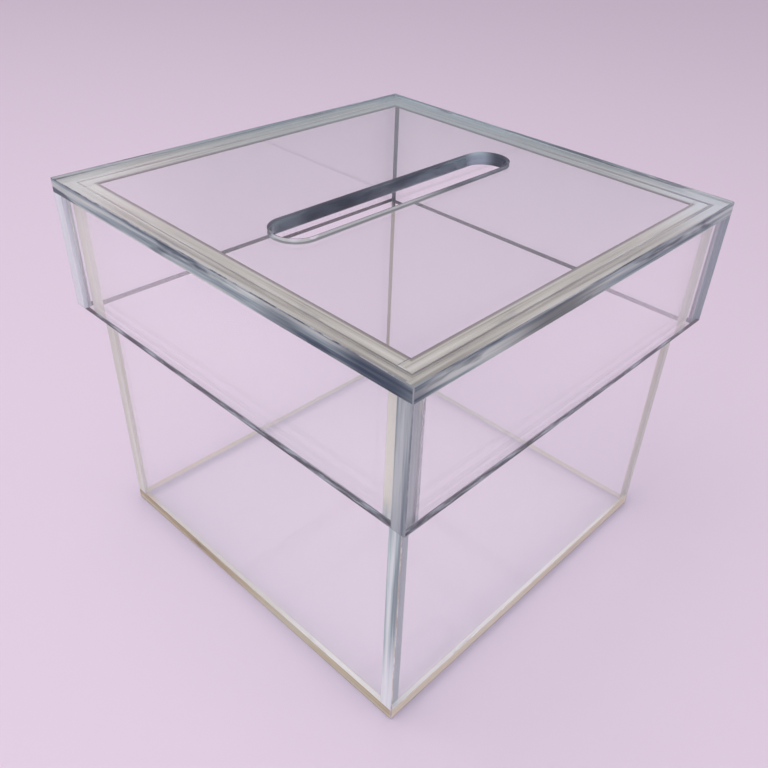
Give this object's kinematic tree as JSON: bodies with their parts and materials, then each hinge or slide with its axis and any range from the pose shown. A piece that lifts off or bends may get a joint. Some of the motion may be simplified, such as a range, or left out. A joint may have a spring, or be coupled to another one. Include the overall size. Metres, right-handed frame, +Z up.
{
  "type": "donation box",
  "caption": "Clear square donation box: open-topped body of cemented flat panels under a lift-off skirted lid with a round-ended slot.",
  "frame": {"origin": "middle of the underside, on the surface that the box stands on", "axes": "+Z up, X along the slot, -Y towards the front of the box"},
  "size_m": [0.2, 0.2, 0.174],
  "materials": {
    "body_sheet": "clear cast acrylic sheet, polished faces and edges",
    "lid_sheet": "clear cast acrylic sheet, polished faces and edges"
  },
  "bodies": {
    "box": {"floor_panel": "body_sheet", "front_wall": "body_sheet", "back_wall": "body_sheet", "left_wall": "body_sheet", "right_wall": "body_sheet"},
    "lid": {"lid_top": "lid_sheet", "lid_front": "lid_sheet", "lid_back": "lid_sheet", "lid_left": "lid_sheet", "lid_right": "lid_sheet"}
  },
  "joints": [
    {"name": "lid_lift", "type": "slide", "parent": "box", "child": "lid", "axis": [0, 0, 1], "range_m": [0, 0.09]}
  ]
}
